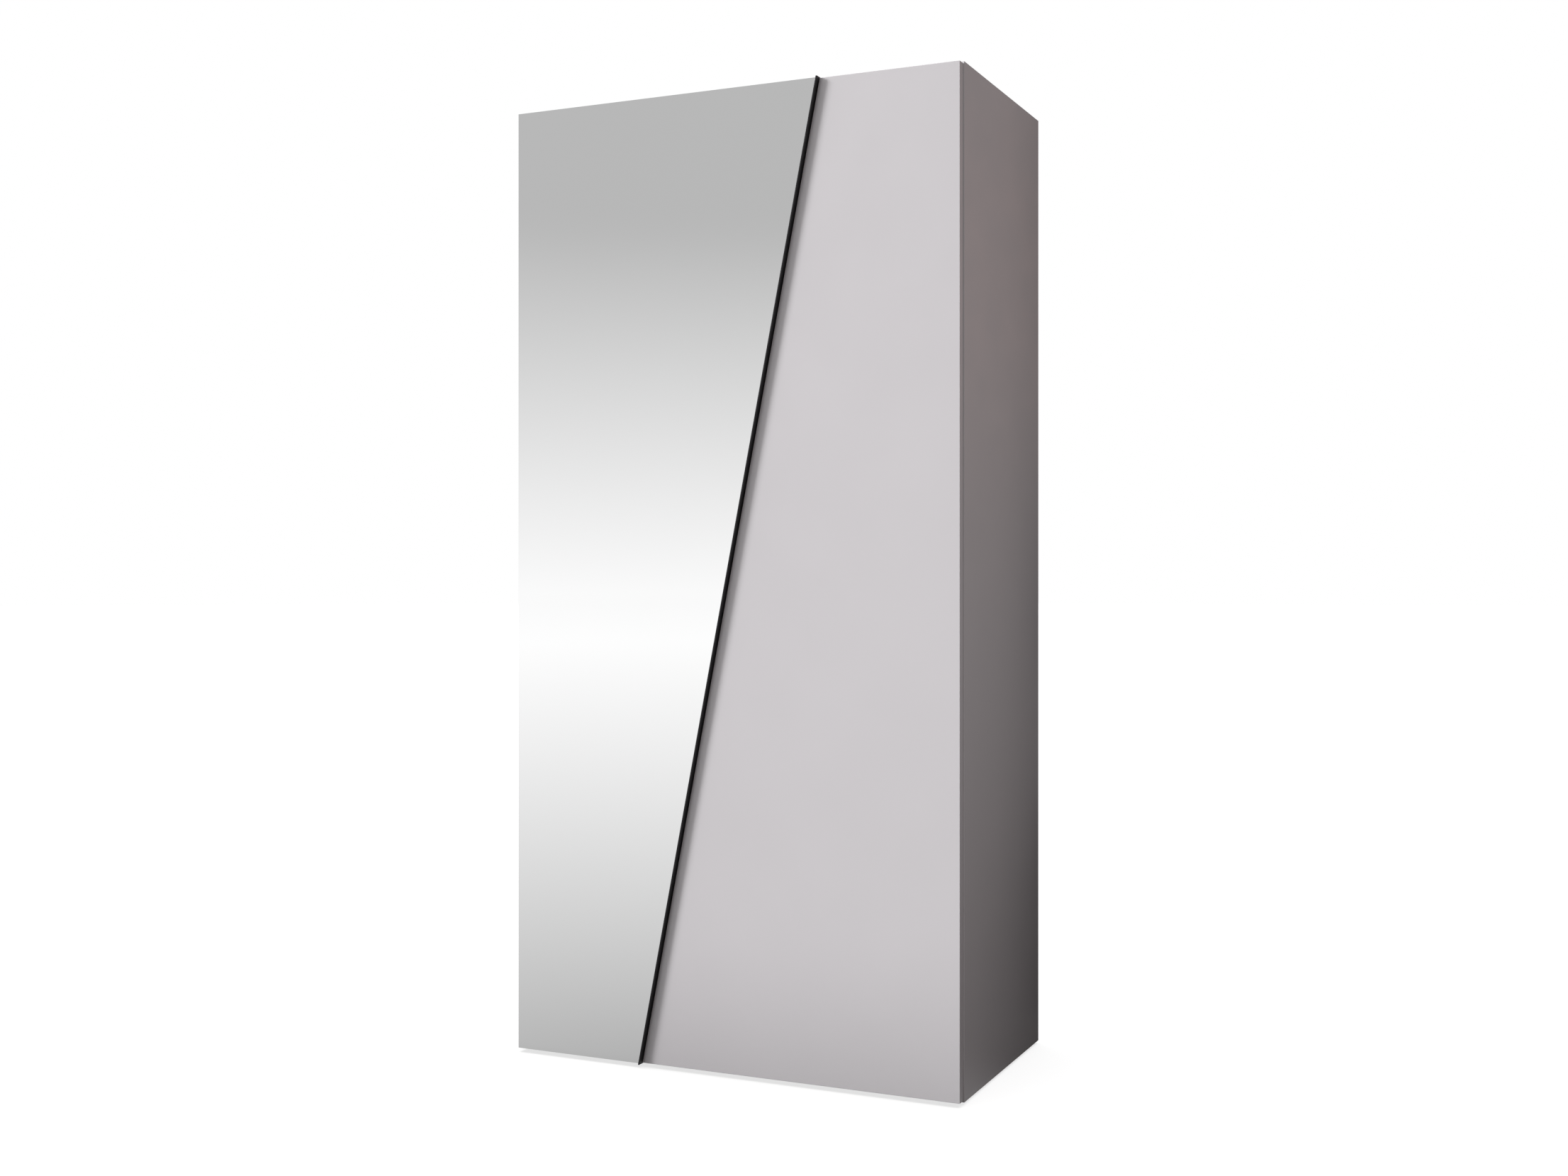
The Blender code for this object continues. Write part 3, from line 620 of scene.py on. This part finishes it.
def cut(obj, cutter):
    cutter.hide_render = True
    cutter.display_type = "WIRE"
    boolean = obj.modifiers.new("cut", "BOOLEAN")
    boolean.object = cutter
    boolean.solver = "EXACT"


def new_piece(name, bm, material, body=None):
    mesh = bpy.data.meshes.new(name)
    bm.to_mesh(mesh)
    bm.free()
    obj = bpy.data.objects.new(name, mesh)
    FURNITURE.objects.link(obj)
    bpy.context.scene.collection.objects.link(obj)
    mesh.materials.append(material)
    if body:
        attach(obj, body)
        finish_surface(obj)
    return obj


def add_turned(bm, profile, spot, axis, steps=20):
    """Add a (radius, height) profile turned about an axis through a point."""
    made = bmesh.new()
    points = [made.verts.new((radius, 0, height)) for radius, height in profile]
    edges = [made.edges.new(pair) for pair in zip(points, points[1:])]
    bmesh.ops.spin(made, geom=points + edges, axis=(0, 0, 1), cent=(0, 0, 0), steps=steps, angle=math.tau)
    bmesh.ops.remove_doubles(made, verts=made.verts, dist=POLE_WELD_DISTANCE)
    bmesh.ops.recalc_face_normals(made, faces=made.faces)
    turn = Vector(axis).to_track_quat("Z", "Y").to_matrix().to_4x4()
    add_made(bm, made, Matrix.Translation(spot) @ turn)


def block(size):
    made = bmesh.new()
    bmesh.ops.create_cube(made, size=1.0, matrix=Matrix.Diagonal((*size, 1.0)))
    return made


def round_block(made, offset, segments):
    bmesh.ops.bevel(
        made, geom=made.edges[:], offset=offset, segments=segments, profile=0.5, affect="EDGES"
    )


def add_block(bm, spot, axis, size, spin=0.0):
    """Add a box whose height runs along an axis, centred on a point."""
    made = block(size)
    turn = Vector(axis).to_track_quat("Z", "Y").to_matrix().to_4x4() @ Matrix.Rotation(spin, 4, "Z")
    add_made(bm, made, Matrix.Translation(spot) @ turn)


def add_made(bm, made, matrix):
    made.transform(matrix)
    scratch = bpy.data.meshes.new("scratch")
    made.to_mesh(scratch)
    made.free()
    bm.from_mesh(scratch)
    bpy.data.meshes.remove(scratch)


# CAD nodes


def paint_nodes():
    """Give each CAD node its material, and its inward faces the interior's where it has any."""
    seam_low, seam_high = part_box("handle_profile")
    slant = math.atan((seam_high.x - seam_low.x) / (seam_high.z - seam_low.z))
    families = (
        ("hanging_rail rail_socket shelf_pin", LOOKS["satin_steel"]),
        ("hinge_", LOOKS["nickel_plate"]),
        ("levelling_foot", LOOKS["black_nylon"]),
        ("door_bumper", LOOKS["clear_silicone"]),
        ("handle_profile", black_anodised(slant)),
        ("mirror_glass", mirror_silver()),
        ("back_panel bottom_panel hat_shelf", LOOKS["interior_melamine"]),
        ("side_panel top_panel plinth left_door_panel right_door_panel", LOOKS["greige_lacquer"]),
    )
    for name, node in NODES.items():
        node.data.materials.clear()
        for prefixes, material in families:
            if name.startswith(tuple(prefixes.split())):
                node.data.materials.append(material)
    line_faces("side_panel_left", (1, 0, 0), LOOKS["interior_melamine"])
    line_faces("side_panel_right", (-1, 0, 0), LOOKS["interior_melamine"])
    line_faces("top_panel", (0, 0, -1), LOOKS["interior_melamine"])
    rim = glass_edge()
    for way in ((1, 0, 0), (-1, 0, 0), (0, 0, 1), (0, 0, -1), (0, 1, 0)):
        line_faces("mirror_glass", way, rim)


def line_faces(name, way, material):
    """Give the faces that look one way a second material."""
    mesh = NODES[name].data
    if material.name not in mesh.materials:
        mesh.materials.append(material)
    index = mesh.materials.find(material.name)
    for face in mesh.polygons:
        if face.normal.dot(Vector(way)) > FACING:
            face.material_index = index


def finish_nodes():
    """Weld each CAD mesh and shade its rounds smooth, but keep the mirror dead flat."""
    for name, node in NODES.items():
        custom = node.data.attributes.get("custom_normal")
        if custom:
            node.data.attributes.remove(custom)
        weld(node)
        if name == "mirror_glass":
            node.data.shade_flat()
            continue
        if name.startswith("side_panel"):
            drill_side(name, node)
        finish_surface(node)


def drill_side(name, side):
    """The two rows of shelf-pin holes that run up each side, in line with the pins in use."""
    hand = name.split("_")[-1]
    low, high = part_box(name)
    inner_x = low.x if hand == "right" else high.x
    outward = 1 if hand == "right" else -1
    bm = bmesh.new()
    for depth in ("front", "rear"):
        pin_low, pin_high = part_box(f"shelf_pin_{hand}_{depth}")
        pin = (pin_low + pin_high) / 2
        for step in range(-HOLES_BELOW_SHELF, HOLES_ABOVE_SHELF + 1):
            if step == 0:
                continue
            spot = (inner_x - outward * HOLE_DEPTH, pin.y, pin.z + step * HOLE_PITCH)
            tip = HOLE_RADIUS / 2
            profile = [
                (0.0, 2 * HOLE_DEPTH),
                (HOLE_RADIUS, 2 * HOLE_DEPTH - tip),
                (HOLE_RADIUS, 0.0),
                (0.0, 0.0),
            ]
            add_turned(bm, profile, spot, (outward, 0, 0), steps=12)
    cutter = new_piece(f"holes_{hand}", bm, LOOKS["raw_chipboard"])
    side.data.materials.append(LOOKS["raw_chipboard"])
    index = side.data.materials.find(LOOKS["raw_chipboard"].name)
    while len(cutter.data.materials) <= index:
        cutter.data.materials.append(LOOKS["raw_chipboard"])
    for face in cutter.data.polygons:
        face.material_index = index
    cut(side, cutter)


# Fittings


def make_screws(name, spots, axis, body, radius=HEAD_RADIUS, height=HEAD_HEIGHT):
    """Pan-head screws with cross recesses, standing on a surface that faces along the axis."""
    profile = [
        (0.0, height),
        (0.35 * radius, 0.97 * height),
        (0.70 * radius, 0.82 * height),
        (0.92 * radius, 0.55 * height),
        (radius, 0.25 * height),
        (radius, -0.1 * height),
        (0.0, -0.1 * height),
    ]
    recess = (RECESS_LENGTH * radius, RECESS_WIDTH * radius, RECESS_DEPTH * height)
    heads = bmesh.new()
    recesses = bmesh.new()
    axis = Vector(axis)
    for number, spot in enumerate(spots):
        spot = Vector(spot)
        add_turned(heads, profile, spot, axis)
        for quarter in (0.0, math.pi / 2):
            add_block(recesses, spot + axis * height, axis, recess, RECESS_TURN * number + quarter)
    cutter = new_piece(name + "_recesses", recesses, LOOKS["nickel_plate"])
    piece = new_piece(name, heads, LOOKS["nickel_plate"])
    cut(piece, cutter)
    piece.modifiers["cut"].use_self = True
    finish_surface(piece)
    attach(piece, body)
    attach(cutter, body)


def make_hinge_screws():
    for side, hand in SIDES:
        inward = -side
        number = 1
        while f"hinge_cup_{hand}_{number}" in NODES:
            low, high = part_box(f"hinge_cup_{hand}_{number}")
            x, z = (low.x + high.x) / 2, (low.z + high.z) / 2
            seat = high.y - CAD_HEAD_RISE
            spots = [(x, seat, z + end * CUP_SCREW_SPACING / 2) for end in (-1, 1)]
            make_screws(f"cup_screws_{hand}_{number}", spots, (0, 1, 0), f"{hand}_door")

            low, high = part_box(f"hinge_arm_{hand}_{number}")
            inner_x = low.x if inward < 0 else high.x
            seat = inner_x - inward * CAD_HEAD_RISE
            spots = [(seat, high.y - back, z) for back in ARM_SCREWS_FROM_REAR]
            make_screws(f"arm_screws_{hand}_{number}", spots, (inward, 0, 0), "carcass")

            low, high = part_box(f"hinge_plate_{hand}_{number}")
            outer_x = high.x if inward < 0 else low.x
            seat = outer_x + inward * PLATE_THICKNESS
            y = (low.y + high.y) / 2
            spots = [(seat, y, z + end * PLATE_SCREW_SPACING / 2) for end in (-1, 1)]
            make_screws(f"plate_screws_{hand}_{number}", spots, (inward, 0, 0), "carcass")
            number += 1


def make_fitting_caps():
    """Snap-in caps over the cam fittings that hold the top board and the bottom board to the sides."""
    profile = [
        (0.0, CAP_HEIGHT),
        (CAP_RADIUS - CAP_HEIGHT, CAP_HEIGHT),
        (CAP_RADIUS - 0.3 * CAP_HEIGHT, 0.7 * CAP_HEIGHT),
        (CAP_RADIUS, 0.0),
        (CAP_RADIUS - 2 * CAP_HEIGHT, -CAP_HEIGHT / 4),
        (0.0, -CAP_HEIGHT / 4),
    ]
    for board in ("top_panel", "bottom_panel"):
        low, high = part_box(board)
        bm = bmesh.new()
        for side in (-1, 1):
            for y in (low.y + 2 * CAP_INSET, high.y - 3 * CAP_INSET):
                spot = (side * (high.x - CAP_INSET), y, low.z)
                add_turned(bm, profile, spot, (0, 0, -1), steps=32)
        new_piece(f"{board}_caps", bm, LOOKS["fitting_plastic"], "carcass")


def make_door_seals():
    """A soft lip up the front edge of each side, which closes the gap to the door."""
    door_back_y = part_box("right_door_panel")[1].y
    bm = bmesh.new()
    for side, hand in SIDES:
        low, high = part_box(f"side_panel_{hand}")
        door_low, door_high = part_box(f"{hand}_door_panel")
        outer_x = side * high.x if side > 0 else low.x
        front_y = door_back_y + SEAL_CLEARANCE
        size = (SEAL_WIDTH, low.y + SEAL_ROOT - front_y, door_high.z - door_low.z)
        centre = (
            outer_x - side * (SEAL_INSET + SEAL_WIDTH / 2),
            front_y + size[1] / 2,
            (door_low.z + door_high.z) / 2,
        )
        made = block(size)
        round_block(made, SEAL_ROUND, segments=3)
        add_made(bm, made, Matrix.Translation(centre))
    new_piece("door_seals", bm, soft_seal(), "carcass")


def make_back_brackets():
    """Moulded wedges that hold the back panel in its rebate, each with a screw into the board."""
    low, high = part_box("back_panel")
    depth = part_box("side_panel_left")[1].y - high.y - BRACKET_SETBACK
    edges = []
    for share in BRACKETS_UP:
        z = low.z + share * (high.z - low.z)
        edges += [((low.x, z), (1, 0)), ((high.x, z), (-1, 0))]
    for share in BRACKETS_ACROSS:
        x = low.x + share * (high.x - low.x)
        edges += [((x, low.z), (0, 1)), ((x, high.z), (0, -1))]
    bm = bmesh.new()
    screw_spots = []
    for (x, z), (across, up) in edges:
        size = (BRACKET_REACH if across else BRACKET_WIDTH, depth, BRACKET_REACH if up else BRACKET_WIDTH)
        half = BRACKET_REACH / 2
        centre = Vector((x + across * half, high.y + depth / 2, z + up * half))
        made = block(size)
        slim = [vert for vert in made.verts if vert.co.y > 0 and vert.co.x * across + vert.co.z * up > 0]
        bmesh.ops.translate(made, verts=slim, vec=(0, -BRACKET_SLOPE * depth, 0))
        round_block(made, BRACKET_ROUND, segments=2)
        add_made(bm, made, Matrix.Translation(centre))
        screw_spots.append(centre + Vector((0, BRACKET_SEAT * depth, 0)))
    new_piece("back_brackets", bm, LOOKS["fitting_plastic"], "carcass")
    make_screws(
        "back_bracket_screws", screw_spots, (0, 1, 0), "carcass", BRACKET_SCREW_RADIUS, BRACKET_SCREW_HEIGHT
    )


# The scene


FURNITURE = bpy.data.collections.new("furniture")
for cad_node in NODES.values():
    FURNITURE.objects.link(cad_node)
SMOOTHING = smoothing()
LOOKS = {
    "greige_lacquer": lacquer(),
    "interior_melamine": melamine(),
    "raw_chipboard": chipboard(),
    "satin_steel": brushed_steel(),
    "nickel_plate": nickel(),
    "black_nylon": black_nylon(),
    "clear_silicone": silicone(),
    "fitting_plastic": moulded_white(),
}

paint_nodes()
finish_nodes()
make_hinge_screws()
make_fitting_caps()
make_door_seals()
make_back_brackets()
make_camera()
make_world()
make_lamps(make_floor())
make_flags()

bpy.context.scene.view_settings.view_transform = "Standard"
